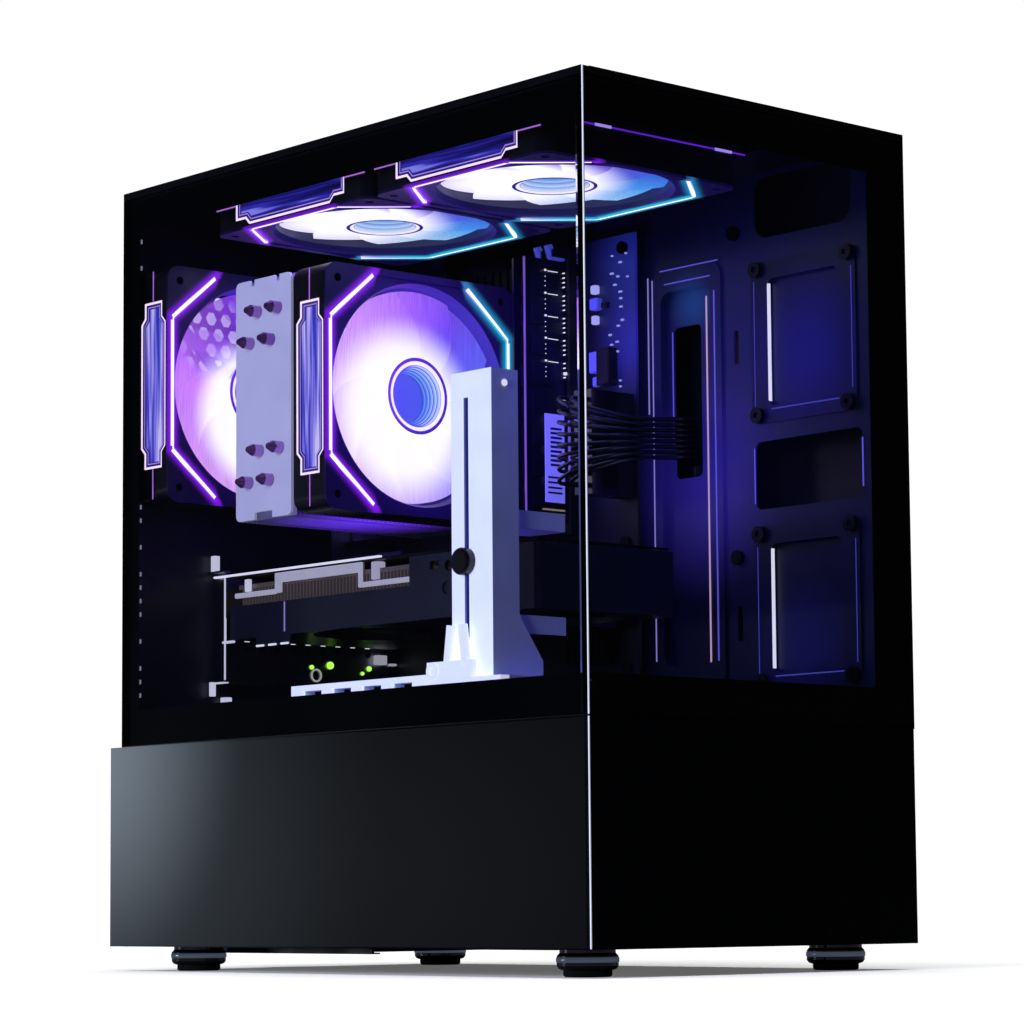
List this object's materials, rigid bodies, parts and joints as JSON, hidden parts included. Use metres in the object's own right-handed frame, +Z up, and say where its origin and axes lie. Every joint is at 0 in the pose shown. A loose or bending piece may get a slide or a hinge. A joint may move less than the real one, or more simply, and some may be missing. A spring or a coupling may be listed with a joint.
{
  "type": "desktop computer tower",
  "caption": "Small upright computer case with glass front and side, lit fans, tower cooler, braced graphics card, board, memory and power supply inside.",
  "frame": {"origin": "on the floor under the middle of the bounding box", "axes": "+Z up, front glass towards -Y, glass side towards -X, rear wall towards +Y"},
  "size_m": [0.207, 0.352, 0.392],
  "materials": {
    "tinted_glass": "dark tinted tempered glass, polished",
    "case_steel": "fine satin black powder coat",
    "tray_steel": "satin black coat",
    "skirt_paint": "satin black coat",
    "filter_mesh": "black mesh in a moulded rim",
    "black_screw": "black zinc",
    "foot_plastic": "gloss black",
    "foot_rubber": "matt",
    "black_plastic": "fine moulded texture",
    "port_steel": "plain tinned",
    "button_metal": "black anodised",
    "circuit_board": "black solder mask",
    "socket_plastic": "moulded",
    "dark_aluminium": "black anodised",
    "bracket_steel": "plain",
    "nickel_pipe": "nickel plate",
    "fin_aluminium": "plain thin sheet",
    "white_plate": "satin white coat",
    "knob_plastic": "moulded black",
    "cable_sleeve": "black insulation",
    "fan_plastic": "moulded black",
    "frosted_rotor": "frosted translucent",
    "light_diffuser": "milky light guide"
  },
  "bodies": {
    "chassis": {"base_pan": "case_steel", "board_heatsinks": "dark_aluminium", "board_sockets": "socket_plastic", "cable_24pin": "cable_sleeve", "cable_trunk": "cable_sleeve", "cooler_base": "nickel_pipe", "cooler_top_plate": "white_plate", "cpu_fan_frame": "fan_plastic", "fan_lights": "light_diffuser", "fasteners": "black_screw", "feet": "foot_plastic", "fin_stack": "fin_aluminium", "foot_pads": "foot_rubber", "front_skirt": "skirt_paint", "gpu_backplate": "dark_aluminium", "gpu_board": "circuit_board", "gpu_bracket": "bracket_steel", "gpu_heatsink": "fin_aluminium", "gpu_shroud": "black_plastic", "heat_pipes": "nickel_pipe", "io_module": "black_plastic", "io_ports": "port_steel", "io_shield": "bracket_steel", "m2_ssd": "circuit_board", "motherboard": "circuit_board", "motherboard_tray": "tray_steel", "psu_housing": "case_steel", "psu_shroud": "case_steel", "ram_modules": "circuit_board", "rear_fan_frame": "fan_plastic", "rear_io_ports": "port_steel", "rear_wall": "case_steel", "side_skirt": "skirt_paint", "ssd_plates": "tray_steel", "stand_base": "white_plate", "stand_pillar": "white_plate", "top_cover": "case_steel", "top_fan_front_frame": "fan_plastic", "top_fan_rear_frame": "fan_plastic", "top_frame": "case_steel"},
    "side_glass_pane": {"side_glass": "tinted_glass"},
    "front_glass_pane": {"front_glass": "tinted_glass"},
    "right_side_panel": {"right_panel": "case_steel", "thumb_screws": "black_screw"},
    "top_dust_filter": {"top_filter": "filter_mesh"},
    "base_dust_filter": {"base_filter": "filter_mesh"},
    "power_key": {"power_button": "button_metal"},
    "reset_key": {"reset_button": "button_metal"},
    "cpu_fan_spinner": {"cpu_fan_rotor": "frosted_rotor"},
    "rear_fan_spinner": {"rear_fan_rotor": "frosted_rotor"},
    "top_front_spinner": {"top_fan_front_rotor": "frosted_rotor"},
    "top_rear_spinner": {"top_fan_rear_rotor": "frosted_rotor"},
    "card_front_spinner": {"gpu_fan_rotor_front": "black_plastic"},
    "card_rear_spinner": {"gpu_fan_rotor_rear": "black_plastic"},
    "psu_spinner": {"psu_fan_rotor": "black_plastic"},
    "mains_rocker": {"psu_switch": "black_plastic"},
    "card_arm_lower": {"stand_arm_lower": "white_plate"},
    "card_arm_upper": {"stand_arm_upper": "white_plate"},
    "stand_clamp_knob": {"stand_knob": "knob_plastic"},
    "memory_latches": {"ram_latches": "socket_plastic"}
  },
  "joints": [
    {"name": "side_glass_pull", "type": "slide", "parent": "chassis", "child": "side_glass_pane", "axis": [-1, 0, 0], "range_m": [0, 0.06]},
    {"name": "front_glass_pull", "type": "slide", "parent": "chassis", "child": "front_glass_pane", "axis": [0, -1, 0], "range_m": [0, 0.06]},
    {"name": "right_panel_slide", "type": "slide", "parent": "chassis", "child": "right_side_panel", "axis": [0, 1, 0], "range_m": [0, 0.03]},
    {"name": "top_filter_lift", "type": "slide", "parent": "chassis", "child": "top_dust_filter", "axis": [0, 0, 1], "range_m": [0, 0.03]},
    {"name": "base_filter_slide", "type": "slide", "parent": "chassis", "child": "base_dust_filter", "axis": [0, 1, 0], "range_m": [0, 0.13]},
    {"name": "power_press", "type": "slide", "parent": "chassis", "child": "power_key", "axis": [0, 0, -1], "range_m": [0, 0.0012], "stiffness_N_per_m": 300},
    {"name": "reset_press", "type": "slide", "parent": "chassis", "child": "reset_key", "axis": [0, 0, -1], "range_m": [0, 0.001], "stiffness_N_per_m": 300},
    {"name": "cpu_fan_spin", "type": "hinge", "parent": "chassis", "child": "cpu_fan_spinner", "pos_m": [-0.021, 0.0405, 0.28], "axis": [0, 1, 0], "continuous": true},
    {"name": "rear_fan_spin", "type": "hinge", "parent": "chassis", "child": "rear_fan_spinner", "pos_m": [-0.034, 0.151, 0.293], "axis": [0, 1, 0], "continuous": true},
    {"name": "top_front_spin", "type": "hinge", "parent": "chassis", "child": "top_front_spinner", "pos_m": [-0.03, -0.078, 0.3745], "axis": [0, 0, 1], "continuous": true},
    {"name": "top_rear_spin", "type": "hinge", "parent": "chassis", "child": "top_rear_spinner", "pos_m": [-0.03, 0.045, 0.3745], "axis": [0, 0, 1], "continuous": true},
    {"name": "card_front_spin", "type": "hinge", "parent": "chassis", "child": "card_front_spinner", "pos_m": [-0.006, -0.038, 0.172], "axis": [0, 0, 1], "continuous": true},
    {"name": "card_rear_spin", "type": "hinge", "parent": "chassis", "child": "card_rear_spinner", "pos_m": [-0.006, 0.07, 0.172], "axis": [0, 0, 1], "continuous": true},
    {"name": "psu_fan_spin", "type": "hinge", "parent": "chassis", "child": "psu_spinner", "pos_m": [0, 0.0935, 0.025], "axis": [0, 0, 1], "continuous": true},
    {"name": "mains_rocker_tip", "type": "hinge", "parent": "chassis", "child": "mains_rocker", "pos_m": [0.009, 0.161, 0.073], "axis": [1, 0, 0], "range_deg": [0, 14]},
    {"name": "lower_arm_slide", "type": "slide", "parent": "chassis", "child": "card_arm_lower", "axis": [0, 0, 1], "range_m": [-0.012, 0.004]},
    {"name": "upper_arm_slide", "type": "slide", "parent": "chassis", "child": "card_arm_upper", "axis": [0, 0, 1], "range_m": [0, 0.045]},
    {"name": "clamp_knob_turn", "type": "hinge", "parent": "chassis", "child": "stand_clamp_knob", "pos_m": [-0.09, -0.0842, 0.1844], "axis": [1, 0, 0], "continuous": true},
    {"name": "memory_latch_tip", "type": "hinge", "parent": "chassis", "child": "memory_latches", "pos_m": [0.0635, 0.0258, 0.3573], "axis": [0, 1, 0], "range_deg": [0, 30]}
  ]
}
